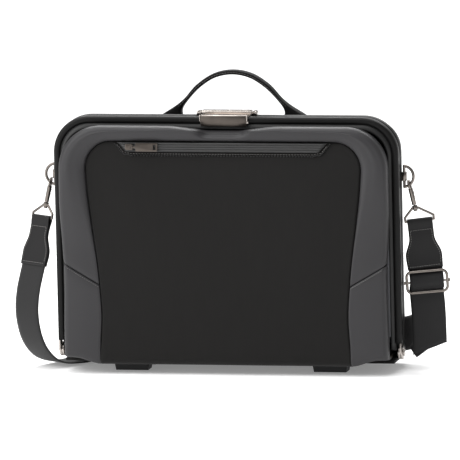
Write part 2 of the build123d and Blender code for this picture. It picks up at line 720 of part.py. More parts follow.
def export_zip():
    export(zip_tape(), "zip_tape")
    export(zip_slider(), "zip_slider")
    export(zip_pull(), "zip_pull")


def export_strap():
    for side, name in ((-1, "left"), (1, "right")):
        export(d_ring(side), f"d_ring_{name}")
        export(hook(side), f"hook_{name}")
        export(hook_bolt(side), f"hook_bolt_{name}")
        export(swivel_loop(side), f"swivel_loop_{name}")
        export(strap_tab(side), f"strap_tab_{name}")
    stations = left_stations()
    landing = len(LEFT_FALL)
    export(ribbon(stations[:landing + 1]), "strap_drop_left")
    export(ribbon(stations[landing:]), "strap_run")
    export(right_drop(), "strap_drop_right")
    export(adjuster_ring(), "adjuster_ring")
    export(adjuster_bar(), "adjuster_bar")
    export(adjuster_wrap(), "adjuster_wrap")


main()
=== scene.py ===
"""Looks of a soft laptop briefcase with a hinged gate frame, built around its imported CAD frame.

Lengths are millimetres in the helper at(), whose y starts at the parting plane of the two frame halves.
"""

import math

import bmesh
import bpy
from mathutils import Matrix, Vector


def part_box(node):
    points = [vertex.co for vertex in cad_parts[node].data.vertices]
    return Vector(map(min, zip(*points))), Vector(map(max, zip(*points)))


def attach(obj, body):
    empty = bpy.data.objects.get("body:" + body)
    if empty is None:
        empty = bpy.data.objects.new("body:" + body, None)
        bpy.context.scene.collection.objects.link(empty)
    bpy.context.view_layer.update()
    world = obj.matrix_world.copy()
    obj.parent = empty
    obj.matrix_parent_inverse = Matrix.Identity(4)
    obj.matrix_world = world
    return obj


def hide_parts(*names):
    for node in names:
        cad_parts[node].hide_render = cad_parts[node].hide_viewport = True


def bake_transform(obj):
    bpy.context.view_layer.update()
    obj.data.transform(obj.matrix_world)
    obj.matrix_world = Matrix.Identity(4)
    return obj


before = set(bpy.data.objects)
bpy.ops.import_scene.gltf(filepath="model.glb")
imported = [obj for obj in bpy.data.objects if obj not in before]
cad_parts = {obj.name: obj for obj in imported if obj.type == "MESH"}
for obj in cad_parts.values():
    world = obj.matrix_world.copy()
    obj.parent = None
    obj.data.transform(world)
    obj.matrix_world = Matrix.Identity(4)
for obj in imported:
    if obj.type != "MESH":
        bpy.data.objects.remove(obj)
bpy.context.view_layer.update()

# ---- places taken from the frame ----
MM = 0.001
PARTING = sum(corner.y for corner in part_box("hinge_rivets")) / 2
FRAME_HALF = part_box("rear_frame_wrap")[1].x / MM
FRAME_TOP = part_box("rear_frame_wrap")[1].z / MM
FRAME_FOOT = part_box("rear_frame_wrap")[0].z / MM
FRAME_THICK = 9.0
FRAME_DEPTH = 12.7
FRAME_CORNER = 44.0
FRAME_GAP = 0.3               # each frame half stops this far from the parting plane
SHELL_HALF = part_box("rear_gusset")[1].x / MM
SHELL_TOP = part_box("rear_gusset")[1].z / MM
SHELL_CORNER = 36.0
SHELL_JOIN = 13.0
BASE_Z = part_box("bottom_panel")[0].z / MM
REAR_Y = (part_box("back_panel")[1].y - PARTING) / MM
EDGE_ROUND = 14.0
PANEL_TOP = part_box("front_panel")[1].z / MM
FRONT_TOP_Y = -28.5
FRONT_LEAN = 9.0 / 247.0      # the front face comes forward by this much per unit of drop
WEB_WIDTH = 40.0
WEB_THICK = 2.0
WEB_UV_LENGTH = 0.4           # metres of webbing for one unit of v
MIDDLE_THREAD = 6             # number of a section's point near the middle of its front
UP = Vector((0, 0, 1))


def at(x, y, z):
    """Point in metres from millimetres, with y measured from the parting plane."""
    return Vector((x * MM, y * MM + PARTING, z * MM))


def smooth(edge0, edge1, value):
    """Smooth step from 0 to 1 between two edges."""
    t = min(max((value - edge0) / (edge1 - edge0), 0.0), 1.0)
    return t * t * (3 - 2 * t)


def mix(a, b, t):
    return a + (b - a) * t


def front_y(z):
    """y of the leaning front face at a height."""
    return FRONT_TOP_Y - (PANEL_TOP - z) * FRONT_LEAN


# ---- mesh helpers ----
def new_object(name, data):
    """Object in the scene for a mesh, a light or a camera."""
    obj = bpy.data.objects.new(name, data)
    bpy.context.scene.collection.objects.link(obj)
    return obj


def grid_object(name, rows, close_columns=False, caps=False, uv=False):
    """Quad mesh through equal rows of points."""
    height, width = len(rows), len(rows[0])
    verts = [p for row in rows for p in row]
    faces = []
    for r in range(height - 1):
        for c in range(width if close_columns else width - 1):
            c2 = (c + 1) % width
            faces.append((r * width + c, r * width + c2, (r + 1) * width + c2, (r + 1) * width + c))
    if caps:
        faces.append(tuple(range(width))[::-1])
        faces.append(tuple((height - 1) * width + c for c in range(width)))
    mesh = bpy.data.meshes.new(name)
    mesh.from_pydata(verts, [], faces)
    if uv:
        layer = mesh.uv_layers.new(name="UVMap")
        for poly in mesh.polygons:
            for loop in poly.loop_indices:
                index = mesh.loops[loop].vertex_index
                layer.data[loop].uv = (index % width / (width - 1), index // width / (height - 1))
    tidy_normals(mesh)
    return new_object(name, mesh)


def tidy_normals(mesh):
    """Merge doubled points, face all faces outward and shade them smoothly."""
    work = bmesh.new()
    work.from_mesh(mesh)
    bmesh.ops.remove_doubles(work, verts=work.verts, dist=0.00002)
    bmesh.ops.recalc_face_normals(work, faces=work.faces)
    work.to_mesh(mesh)
    work.free()
    for poly in mesh.polygons:
        poly.use_smooth = True


def apply_modifiers(obj):
    """Bake an object's modifiers into its mesh."""
    graph = bpy.context.evaluated_depsgraph_get()
    graph.update()
    mesh = bpy.data.meshes.new_from_object(obj.evaluated_get(graph))
    obj.modifiers.clear()
    obj.data = mesh
    return obj


def thicken(obj, thickness):
    """Give a sheet its thickness, away from its normals."""
    modifier = obj.modifiers.new("thickness", "SOLIDIFY")
    modifier.thickness = thickness * MM
    modifier.offset = -1
    modifier.use_even_offset = False
    return apply_modifiers(obj)


def face_toward(obj, direction):
    """Flip a sheet so that most of it faces one way."""
    total = sum((p.normal * p.area for p in obj.data.polygons), Vector())
    if total.dot(Vector(direction)) < 0:
        obj.data.flip_normals()
    return obj


def pad(obj):
    """Thickness and smooth swelling of a padded leather piece."""
    face_toward(obj, (0, -1, 0))
    thicken(obj, 1.6)
    modifier = obj.modifiers.new("smooth", "SUBSURF")
    modifier.levels = modifier.render_levels = 1
    return apply_modifiers(obj)


def soften(obj, width):
    """Small round edges on a machined CAD piece."""
    weld = obj.modifiers.new("weld", "WELD")
    weld.merge_threshold = 0.00001
    bevel = obj.modifiers.new("round edges", "BEVEL")
    bevel.width = width * MM
    bevel.segments = 2
    bevel.limit_method = "ANGLE"
    bevel.angle_limit = math.radians(35)
    bevel.harden_normals = True
    for poly in obj.data.polygons:
        poly.use_smooth = True


def spline_points(keys, steps):
    """Catmull-Rom curve through given keys."""
    ends = [keys[0] * 2 - keys[1]] + list(keys) + [keys[-1] * 2 - keys[-2]]
    points = []
    for i in range(1, len(ends) - 2):
        a, b, c, d = ends[i - 1:i + 3]
        for n in range(steps):
            t = n / steps
            square, cube = 2 * a - 5 * b + 4 * c - d, 3 * b - a - 3 * c + d
            points.append(0.5 * (2 * b + (c - a) * t + square * t**2 + cube * t**3))
    return points + [keys[-1].copy()]


def tube(name, points, radius):
    """Round cord along points."""
    sides = 8
    rows = []
    count = len(points)
    normal = None
    for n, point in enumerate(points):
        heading = (points[min(n + 1, count - 1)] - points[max(n - 1, 0)]).normalized()
        if normal is None:
            normal = heading.orthogonal().normalized()
        normal = (normal - heading * normal.dot(heading)).normalized()
        side = heading.cross(normal)
        rows.append([
            point + (normal * math.cos(a) + side * math.sin(a)) * radius * MM
            for a in (2 * math.pi * k / sides for k in range(sides))
        ])
    return grid_object(name, rows, close_columns=True, caps=True)


def along(points, step):
    """Points and headings at an even spacing along a line."""
    placed = []
    carried = step / 2
    for a, b in zip(points, points[1:]):
        length = (b - a).length
        while carried <= length:
            placed.append((a.lerp(b, carried / length), (b - a).normalized()))
            carried += step
        carried -= length
    return placed


def stitches(name, points, out, step=3.4, length=2.5, thread=0.36):
    """Row of lock stitches along a seam, as one mesh; out(point) faces away from the cloth."""
    work = bmesh.new()
    sides, rings, sink = 6, 5, 0.05
    for centre, heading in along(points, step * MM):
        normal = out(centre)
        normal = (normal - heading * normal.dot(heading)).normalized()
        across = heading.cross(normal)
        loops = []
        for r in range(rings):
            s = r / (rings - 1) * 2 - 1
            lift = (1 - s * s) * thread * 0.9 - sink - thread * 0.3
            size = thread * (1 - 0.55 * s**4)
            middle = centre + heading * s * length / 2 * MM + normal * lift * MM
            loops.append([
                work.verts.new(middle + (across * math.cos(a) + normal * math.sin(a)) * size * MM)
                for a in (2 * math.pi * k / sides for k in range(sides))
            ])
        for low, high in zip(loops, loops[1:]):
            for k in range(sides):
                work.faces.new((low[k], low[(k + 1) % sides], high[(k + 1) % sides], high[k]))
        work.faces.new(loops[0][::-1])
        work.faces.new(loops[-1])
    mesh = bpy.data.meshes.new(name)
    bmesh.ops.recalc_face_normals(work, faces=work.faces)
    work.to_mesh(mesh)
    work.free()
    for poly in mesh.polygons:
        poly.use_smooth = True
    return new_object(name, mesh)


# ---- materials ----
class Look:
    """A node material around one Principled shader."""

    def __init__(self, name, color, roughness, metallic=0.0, **sockets):
        self.material = bpy.data.materials.new(name)
        self.material.use_nodes = True
        self.nodes = self.material.node_tree.nodes
        self.links = self.material.node_tree.links
        self.shader = self.nodes["Principled BSDF"]
        self.shader.inputs["Base Color"].default_value = (*color, 1)
        self.shader.inputs["Roughness"].default_value = roughness
        self.shader.inputs["Metallic"].default_value = metallic
        for key, value in sockets.items():
            self.shader.inputs[key.replace("_", " ")].default_value = value

    def add(self, kind, **settings):
        node = self.nodes.new(kind)
        for key, value in settings.items():
            if hasattr(node, key):
                setattr(node, key, value)
            else:
                node.inputs[key.replace("_", " ")].default_value = value
        return node

    def link(self, source, output, target, socket):
        self.links.new(source.outputs[output], target.inputs[socket])

    def noise(self, scale, detail=3.0, roughness=0.5, stretch=None):
        """Noise in metres of object space, optionally stretched along the axes."""
        source = self.add("ShaderNodeTexCoord")
        texture = self.add("ShaderNodeTexNoise", Scale=scale, Detail=detail, Roughness=roughness)
        if stretch:
            mapping = self.add("ShaderNodeMapping")
            mapping.inputs["Scale"].default_value = stretch
            self.link(source, "Object", mapping, "Vector")
            self.link(mapping, "Vector", texture, "Vector")
        else:
            self.link(source, "Object", texture, "Vector")
        return texture

    def color_from(self, source, output, stops):
        """Base colour from a value, through a ramp with two stops."""
        ramp = self.add("ShaderNodeValToRGB")
        for element, (position, color) in zip(ramp.color_ramp.elements, stops):
            element.position = position
            element.color = (*color, 1)
        self.link(source, output, ramp, "Fac")
        self.link(ramp, "Color", self.shader, "Base Color")

    def roughness_from(self, source, output, low, high):
        limits = self.add("ShaderNodeMapRange")
        limits.inputs["To Min"].default_value = low
        limits.inputs["To Max"].default_value = high
        self.link(source, output, limits, "Value")
        self.link(limits, "Result", self.shader, "Roughness")

    def bump(self, source, output, distance, strength=1.0, under=None):
        """Bump of a distance in millimetres, stacked on another bump."""
        node = self.add("ShaderNodeBump")
        node.inputs["Distance"].default_value = distance * MM
        node.inputs["Strength"].default_value = strength
        self.link(source, output, node, "Height")
        if under:
            self.link(under, "Normal", node, "Normal")
        self.link(node, "Normal", self.shader, "Normal")
        return node


def tinted(color, factor):
    return tuple(min(c * factor, 1.0) for c in color)


def leather(name, color, roughness=0.46, grain=0.05, gloss=0.5):
    """Smooth calf leather: fine pebble, faint cloudiness and polish that varies."""
    sheen = 0.1 * gloss**2
    look = Look(name, color, roughness, Specular_IOR_Level=gloss, Sheen_Weight=sheen, Sheen_Roughness=0.4)
    clouds = look.noise(14, 4, 0.55)
    look.color_from(clouds, "Fac", [(0.3, tinted(color, 0.93)), (0.7, tinted(color, 1.08))])
    look.roughness_from(clouds, "Fac", roughness - 0.04, roughness + 0.06)
    source = look.add("ShaderNodeTexCoord")
    pores = look.add("ShaderNodeTexVoronoi", Scale=1100.0, feature="DISTANCE_TO_EDGE")
    look.link(source, "Object", pores, "Vector")
    first = look.bump(pores, "Distance", grain, 0.35)
    creases = look.noise(160, 5, 0.6)
    look.bump(creases, "Fac", 0.12, 0.35, first)
    return look.material


def woven(name, color, period=0.75, contrast=0.22, roughness=0.82, lift=0.10):
    """Plain weave from two crossed thread waves, with slubs."""
    look = Look(name, color, roughness, Specular_IOR_Level=0.25, Sheen_Weight=0.06, Sheen_Roughness=0.5)
    source = look.add("ShaderNodeTexCoord")
    waves = []
    for axis in ("X", "Z"):
        wave = look.add("ShaderNodeTexWave", wave_type="BANDS", bands_direction=axis, wave_profile="SIN")
        wave.inputs["Scale"].default_value = math.pi / 10 / (period * MM)
        wave.inputs["Distortion"].default_value = 0.6
        wave.inputs["Detail"].default_value = 1.0
        wave.inputs["Detail Scale"].default_value = 3.0
        look.link(source, "Object", wave, "Vector")
        waves.append(wave)
    cross = look.add("ShaderNodeMath", operation="MULTIPLY")
    look.link(waves[0], "Fac", cross, 0)
    look.link(waves[1], "Fac", cross, 1)
    slubs = look.noise(260, 3, 0.6, (1, 1, 0.12))
    both = look.add("ShaderNodeMath", operation="MULTIPLY_ADD")
    both.inputs[1].default_value = 0.6
    look.link(slubs, "Fac", both, 0)
    look.link(cross, "Value", both, 2)
    look.color_from(both, "Value", [(0.1, tinted(color, 1 - contrast)), (1.0, tinted(color, 1 + contrast))])
    look.bump(cross, "Value", lift, 0.6)
    return look.material


def webbing(name, color):
    """Ribbed strap webbing that follows the strap: UV u runs across it and v along it."""
    ribs, repeats = 22, 260
    look = Look(name, color, 0.72, Specular_IOR_Level=0.35, Sheen_Weight=0.08, Sheen_Roughness=0.45)
    source = look.add("ShaderNodeTexCoord")
    parts = look.add("ShaderNodeSeparateXYZ")
    look.link(source, "UV", parts, "Vector")
    waves = []
    for output, count in (("X", ribs), ("Y", repeats)):
        turn = look.add("ShaderNodeMath", operation="MULTIPLY")
        turn.inputs[1].default_value = count * 2 * math.pi
        look.link(parts, output, turn, 0)
        wave = look.add("ShaderNodeMath", operation="SINE")
        look.link(turn, "Value", wave, 0)
        waves.append(wave)
    cross = look.add("ShaderNodeMath", operation="MULTIPLY_ADD")
    cross.inputs[1].default_value = 0.5
    look.link(waves[0], "Value", cross, 0)
    look.link(waves[1], "Value", cross, 2)
    limits = look.add("ShaderNodeMapRange")
    limits.inputs["From Min"].default_value = -1.5
    limits.inputs["From Max"].default_value = 1.5
    look.link(cross, "Value", limits, "Value")
    look.color_from(limits, "Result", [(0.0, tinted(color, 0.8)), (1.0, tinted(color, 1.18))])
    look.bump(limits, "Result", 0.14, 0.6)
    return look.material


def metal(name, color, roughness=0.3, brush=(1, 1, 1), strength=0.25):
    """Plated metal with faint brushing, polish that varies and slight tarnish."""
    look = Look(name, color, roughness, metallic=1.0)
    lines = look.noise(900, 2, 0.5, brush)
    stains = look.noise(120, 4, 0.6)
    look.color_from(stains, "Fac", [(0.3, tinted(color, 0.86)), (0.7, tinted(color, 1.06))])
    look.roughness_from(lines, "Fac", roughness * 0.75, roughness * 1.35)
    look.bump(lines, "Fac", 0.02, strength)
    return look.material


def moulded(name, color, roughness=0.6):
    """Moulded rubber or plastic with a fine spark-eroded grain."""
    look = Look(name, color, roughness, Specular_IOR_Level=0.4)
    grain = look.noise(1500, 2, 0.6)
    patches = look.noise(60, 3, 0.5)
    look.color_from(patches, "Fac", [(0.3, tinted(color, 0.9)), (0.7, tinted(color, 1.1))])
    look.bump(grain, "Fac", 0.05, 0.4)
    return look.material


def board(name, color):
    """Pressed fibre board with short fibres."""
    look = Look(name, color, 0.85)
    fibres = look.noise(700, 4, 0.7, (1, 0.2, 1))
    look.color_from(fibres, "Fac", [(0.3, tinted(color, 0.75)), (0.7, tinted(color, 1.2))])
    look.bump(fibres, "Fac", 0.08, 0.4)
    return look.material


SURROUND = leather("surround leather", (0.0215, 0.0205, 0.0223), 0.50, gloss=0.40)
FRAME_LEATHER = leather("frame leather", (0.0045, 0.0044, 0.0044), 0.42, 0.04, 0.18)
HANDLE_LEATHER = leather("handle leather", (0.0035, 0.0034, 0.0035), 0.66, 0.04, 0.12)
TAB_LEATHER = leather("tab leather", (0.007, 0.0067, 0.007), 0.52, gloss=0.24)
EDGE_PAINT = moulded("painted leather edge", (0.010, 0.010, 0.010), 0.45)
FRONT_FABRIC = woven("front fabric", (0.0045, 0.0040, 0.0036), period=0.9, contrast=0.4, lift=0.18)
BACK_FABRIC = woven("back fabric", (0.010, 0.0092, 0.0085), period=1.1)
LINING = woven("lining twill", (0.10, 0.10, 0.108), period=0.5, contrast=0.12, roughness=0.65, lift=0.05)
WEBBING = webbing("strap webbing", (0.0055, 0.0053, 0.0057))
WEBBING_BACK = webbing("strap webbing, inner face", (0.028, 0.027, 0.028))
THREAD = moulded("seam thread", (0.14, 0.135, 0.13), 0.55)
ZIP_BAND = moulded("coated zip band", (0.026, 0.026, 0.026), 0.36)
PEWTER = metal("gunmetal plating", (0.18, 0.16, 0.145), 0.2)
PEWTER_BRIGHT = metal("polished gunmetal", (0.50, 0.455, 0.42), 0.2)
PEWTER_PLATE = metal("brushed gunmetal", (0.098, 0.084, 0.074), 0.30, (0.03, 1, 1), 0.5)
PEWTER_DARK = metal("blackened metal", (0.12, 0.105, 0.095), 0.36)
STEEL = metal("plain steel", (0.5, 0.46, 0.43), 0.26)
RUBBER = moulded("moulded foot", (0.012, 0.012, 0.0125), 0.55)
BOARD = board("stiffener board", (0.13, 0.11, 0.09))


def paint(obj, material):
    """Give a piece its one material."""
    obj.data.materials.clear()
    obj.data.materials.append(material)


def wear(obj, material, slot, *nodes):
    """Give a piece its material and hide the CAD nodes it stands for; the slot argument is not used."""
    paint(obj, material)
    if nodes:
        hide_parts(*nodes)


def fit(obj, material, slot, body, *nodes):
    """Dress a piece and let it move with a body."""
    wear(obj, material, slot, *nodes)
    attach(obj, body)


# ---- front half: leather surround and fabric panel ----
SIDE_KEYS = [Vector(p) for p in ((150.7, 106), (153.2, 132), (159, 175), (163.6, 212), (166, 244))]
LOW_KEYS = [Vector(p) for p in ((152.5, 12), (149.2, 52), (148.6, 75), (150.7, 106))]
CORNER_CENTRE = Vector((134.0, 244.0))
CORNER_SIZE = Vector((32.0, 33.0))
SEAM_SIDE_Z = 131.5
LEATHER_BASE = 18.5           # the leather's lower edge at the sides, above the fabric's
LEATHER_CORNER = 50.0
LEATHER_TOP = SHELL_TOP + 1.8
BASE_ROUND = 8.0
FABRIC_BASE = BASE_Z - 1.0
LATCH_SAG = 3.2               # the leather's top edge sinks this much beside the latch
SCOOP_DEPTH = 8.5             # how far the thumb scoop goes back, and how far its rim drops
SCOOP_DROP = 3.0


def side_x(z):
    """Half-width of the front leather, a little narrower and wavier towards the base."""
    wave = 0.8 * math.sin(z / 27.0) * smooth_down(235, 170, z)
    return SHELL_HALF - 0.4 - 3.6 * smooth_down(215, 80, z) + wave


def smooth_down(high, low, value):
    return 1 - smooth(low, high, value)


def side_keys():
    """Inner and outer outline of the leather's right half, from the base to the top's middle."""
    pairs = []
    low_steps, high_steps, corner_steps, top_steps = 16, 22, 14, 26
    corner_z = LEATHER_TOP - LEATHER_CORNER
    corner_x = side_x(corner_z) - LEATHER_CORNER
    for keys, low, high, steps in (
        (LOW_KEYS, BASE_Z, SEAM_SIDE_Z, low_steps),
        (SIDE_KEYS, SEAM_SIDE_Z, corner_z, high_steps),
    ):
        line = spline_points(keys, 8)
        for n in range(steps):
            z = mix(low, high, n / steps)
            pairs.append((curve_at(line, n / steps), Vector((side_x(z), z))))
    for n in range(corner_steps):
        a = math.pi / 2 * n / corner_steps
        inner = CORNER_CENTRE + Vector((CORNER_SIZE.x * math.cos(a), CORNER_SIZE.y * math.sin(a)))
        outer = Vector((corner_x, corner_z)) + Vector((math.cos(a), math.sin(a))) * LEATHER_CORNER
        pairs.append((inner, outer))
    for n in range(top_steps + 1):
        t = n / top_steps
        inner = Vector((mix(CORNER_CENTRE.x, 0, t), PANEL_TOP))
        pairs.append((inner, Vector((mix(corner_x, 0, t), LEATHER_TOP))))
    return pairs, low_steps


def curve_at(points, t):
    """Point at a fraction of a line's own count of points."""
    place = t * (len(points) - 1)
    index = min(int(place), len(points) - 2)
    return points[index].lerp(points[index + 1], place - index)


def proud(inner):
    """How far the leather stands in front of the fabric at its edge."""
    return mix(1.2, 6.6, smooth(130, 238, inner.y))


def scoop(x):
    """Thumb scoop under the latch, 0 to 1."""
    return smooth(32, 19, abs(x))


def leather_profile(inner, outer):
    """Section from the panel's groove over the padding to the frame gap, as (x, y, z) in millimetres."""
    width = (outer - inner).length
    way = (outer - inner) / width
    height = proud(inner)
    inner_roll = mix(5.0, 14.0, smooth(150, 250, inner.y))
    outer_roll = mix(6.0, 8.0, smooth(225, 270, inner.y))
    section = [(0.0, 4.0), (0.1, 1.4)]
    for n in range(7):
        b = math.pi / 2 * n / 6
        section.append((0.2 + inner_roll * (1 - math.cos(b)), -height * math.sin(b)))
    crest = max(width - outer_roll, inner_roll + 0.8)
    for n in range(1, 6):
        t = n / 5
        section.append((mix(inner_roll + 0.2, crest, t), -height - 0.7 * math.sin(math.pi * t)))
    for n in range(1, 9):
        b = math.pi / 2 * n / 8
        fall = (outer_roll + 1) * (1 - math.cos(b))
        section.append((crest + (width - crest) * math.sin(b), fall - height))
    middle = abs(inner.x + outer.x) / 2
    at_top = inner.y > PANEL_TOP - 1
    dip = scoop(middle) if at_top else 0.0
    sag = LATCH_SAG * smooth(64, 28, middle) if at_top else 0.0
    points = []
    for along_width, depth in section:
        place = inner + way * along_width
        share = min(along_width / width, 1)
        sunk = dip * smooth(0.12, 0.75, share)
        y = front_y(place.y) + depth + sunk * SCOOP_DEPTH
        z = place.y - sunk * SCOOP_DROP - sag * smooth(0.35, 1.0, share)
        points.append((place.x, min(y, -SHELL_JOIN - 0.6), z))
    end = points[-1]
    for n in range(1, 4):
        y = mix(end[1], -SHELL_JOIN, n / 3)
        points.append((end[0] - 0.5 * n * way.x, y, end[2] - 0.5 * n * way.y))
    return points


def base_roll(points, b):
    """A bottom row of the leather, rolled under by angle b."""
    rolled = []
    for x, y, _ in points:
        low = mix(FABRIC_BASE, LEATHER_BASE, smooth(152, 182, abs(x)))
        tuck = BASE_ROUND * (1 - math.cos(b))
        rolled.append((x, min(y + tuck, -SHELL_JOIN), low + BASE_ROUND * (1 - math.sin(b))))
    return rolled


def leather_rows():
    """Rows of the right half, from under the base to the middle of the top, and the seam's row number."""
    pairs, low_steps = side_keys()
    sections = [leather_profile(inner, outer) for inner, outer in pairs]
    drop_top = LEATHER_BASE + BASE_ROUND
    first = next(n for n, (inner, outer) in enumerate(pairs) if outer.y > drop_top + 3 and inner.y > drop_top)
    foot = sections[first]
    under = [(x, -SHELL_JOIN, z) for x, _, z in base_roll(foot, math.pi / 2)]
    roll = [base_roll(foot, math.pi / 2 * n / 6) for n in range(6, -1, -1)]
    return [under] + roll + sections[first:], low_steps - first + 8


def pinch(row, amount, side_amount):
    """A seam's edge row, drawn in towards the bag."""
    drawn = []
    for x, y, z in row:
        share = smooth(185, 197, x)
        drawn.append((x - side_amount * share, y + amount * (1 - share), z))
    return drawn


def bend_front(obj):
    """Bake a front piece's transform into its mesh."""
    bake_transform(obj)


def front_out(_):
    """Outward direction of stitches on the front."""
    return Vector((0, -1, 0.04))


def build_front_leather():
    """Padded surround above the diagonal seams and a lower piece below each of them."""
    rows, seam = leather_rows()
    upper = [pinch(rows[seam], 0.9, 0.7), pinch(rows[seam + 1], 0.1, 0.1)] + rows[seam + 2:]
    half = [[at(x, y, z) for x, y, z in row] for row in upper]
    mirrored = [[at(-x, y, z) for x, y, z in row] for row in upper[:-1]]
    surround = pad(grid_object("surround_leather", mirrored + half[::-1]))
    fit(surround, SURROUND, "leather", "lid", "front_surround")
    lower = rows[:seam - 1] + [pinch(rows[seam - 1], 0.1, 0.1), pinch(rows[seam], 0.9, 0.7)]
    for name, side in (("left", -1), ("right", 1)):
        points = [[at(side * x, y, z) for x, y, z in row] for row in lower]
        piece = pad(grid_object(f"lower_leather_{name}", points))
        wear(piece, SURROUND, "leather", f"lower_side_{name}")
        bend_front(piece)
        build_seam_thread(name, rows[seam], side)


def build_seam_thread(name, row, side):
    """Top stitching just under the diagonal seam."""
    line = [at(side * x, y - 0.25, z - 2.6) for x, y, z in row[3:15]]
    thread = stitches(f"seam_thread_{name}", line, front_out, step=3.0, length=2.2, thread=0.28)
    fit(thread, THREAD, "webbing", "lid")


def panel_half_width(z):
    """Half-width of the fabric panel at a height."""
    if z > CORNER_CENTRE.y:
        rise = min((z - CORNER_CENTRE.y) / CORNER_SIZE.y, 1.0)
        return CORNER_CENTRE.x + CORNER_SIZE.x * math.sqrt(1 - rise * rise)
    keys = spline_points(LOW_KEYS, 8)[:-1] + spline_points(SIDE_KEYS, 8)
    for low, high in zip(keys, keys[1:]):
        if low.y <= z <= high.y:
            return mix(low.x, high.x, (z - low.y) / (high.y - low.y))
    return keys[0].x


def fabric_row(z, depth, top_share):
    """One level row of the fabric panel: flat across, and dipping into the groove at both ends."""
    half = panel_half_width(min(max(z, 12.5), PANEL_TOP - 0.02)) + 0.5
    row = []
    for n in range(61):
        s = n / 60 * 2 - 1
        s = math.copysign(1 - (1 - abs(s))**1.6, s)
        edge = (1 - abs(s)) * half
        groove = 3.6 * (1 - smooth(0.0, 2.2, edge))
        crown = 1.5 * smooth(0, 60, edge) * smooth(12, 90, z) * smooth(PANEL_TOP, PANEL_TOP - 60, z)
        hollow = 0.35 * math.sin(s * 5.0 + z / 41.0) * smooth(0, 50, edge)
        row.append((s * half, front_y(z) + depth + max(groove, top_share) - crown - hollow, z))
    return row


def build_front_fabric():
    """Fabric panel from the zip down and round under the base."""
    rows = []
    for n in range(5):
        z = PANEL_TOP - 0.5 * n
        rows.append(fabric_row(z, 0, 3.6 * (1 - smooth(0, 2.0, PANEL_TOP - z))))
    for n in range(1, 9):
        rows.append(fabric_row(mix(PANEL_TOP - 2, CORNER_CENTRE.y, n / 8), 0, 0))
    foot = FABRIC_BASE + BASE_ROUND
    for n in range(1, 41):
        rows.append(fabric_row(mix(CORNER_CENTRE.y, foot, n / 40), 0, 0))
    last_upright = rows[-1]
    for n in range(1, 9):
        b = math.pi / 2 * n / 8
        tuck = BASE_ROUND * (1 - math.cos(b))
        rows.append([(x, y + tuck, FABRIC_BASE + BASE_ROUND * (1 - math.sin(b))) for x, y, _ in last_upright])
    rows.append([(x, -SHELL_JOIN, z) for x, _, z in rows[-1]])
    fabric = grid_object("front_fabric", [[at(*p) for p in row] for row in rows])
    face_toward(fabric, (0, -1, 0))
    thicken(fabric, 1.2)
    wear(fabric, FRONT_FABRIC, "front_fabric", "front_panel", "front_skirt")
    bend_front(fabric)


# ---- rear half ----
BACK_HALF, BACK_TOP, BACK_CORNER = 182.0, 279.0, 24.0
BACK_MIDDLE_Z = 150.0
BACK_OPENING = 50.0           # the innermost ring of the back lies within this radius


def door_line(half, top, corner, bottom, steps=12, rise=20):
    """Door-shaped outline from the left foot over the top to the right foot, as (x, z, out_x, out_z)."""
    points = [(-half, mix(bottom, top - corner, n / rise), -1.0, 0.0) for n in range(rise)]
    for n in range(steps + 1):
        a = math.pi - math.pi / 2 * n / steps
        nx, nz = math.cos(a), math.sin(a)
        points.append((-half + corner + corner * nx, top - corner + corner * nz, nx, nz))
    points += [(mix(-half + corner, half - corner, n / rise), top, 0.0, 1.0) for n in range(1, rise)]
    points += [(-x, z, -nx, nz) for x, z, nx, nz in points[:rise + steps + 1][::-1]]
    return points


def build_rear_gusset():
    """Padded leather gusset from the frame round to the back panel."""
    rows = []
    for x, z, nx, nz in door_line(SHELL_HALF, SHELL_TOP, SHELL_CORNER, BASE_Z + 3):
        section = []
        for n in range(11):
            t = n / 10
            y = mix(SHELL_JOIN, REAR_Y - EDGE_ROUND, t)
            swell = 2.4 * math.sin(t * math.pi) * (1 - 0.6 * smooth(0.9, 1.0, abs(nz)))
            section.append((x + nx * swell, y, z + nz * swell * 0.4))
        reach = EDGE_ROUND + 1.2
        for n in range(1, 9):
            b = math.pi / 2 * n / 8
            inset = reach * (1 - math.cos(b))
            section.append((x - nx * inset, REAR_Y - EDGE_ROUND + EDGE_ROUND * math.sin(b), z - nz * inset))
        section.append((x - nx * (reach + 0.9), REAR_Y - 1.0, z - nz * (reach + 0.9)))
        rows.append([at(*p) for p in section])
    gusset = grid_object("rear_gusset_leather", rows)
    face_toward(gusset, (0, 0, 1))
    thicken(gusset, 2.0)
    fit(gusset, FRAME_LEATHER, "leather", "root", "rear_gusset")


def back_line(inset, corner, lift, y):
    """Line round the back panel, this far inside its edge."""
    outline = door_line(BACK_HALF - inset, BACK_TOP - inset, corner, BASE_Z + lift)
    return [at(x, REAR_Y + y, z) for x, z, _, _ in outline]


def fill_middle(obj):
    """Close a sheet's open ring round the back panel's middle."""
    middle = at(0, 0, BACK_MIDDLE_Z)
    work = bmesh.new()
    work.from_mesh(obj.data)
    near = {v for v in work.verts if math.hypot(v.co.x - middle.x, v.co.z - middle.z) < BACK_OPENING * MM}
    ring = [edge for edge in work.edges if edge.is_boundary and near.issuperset(edge.verts)]
    bmesh.ops.contextual_create(work, geom=ring)
    work.to_mesh(obj.data)
    work.free()


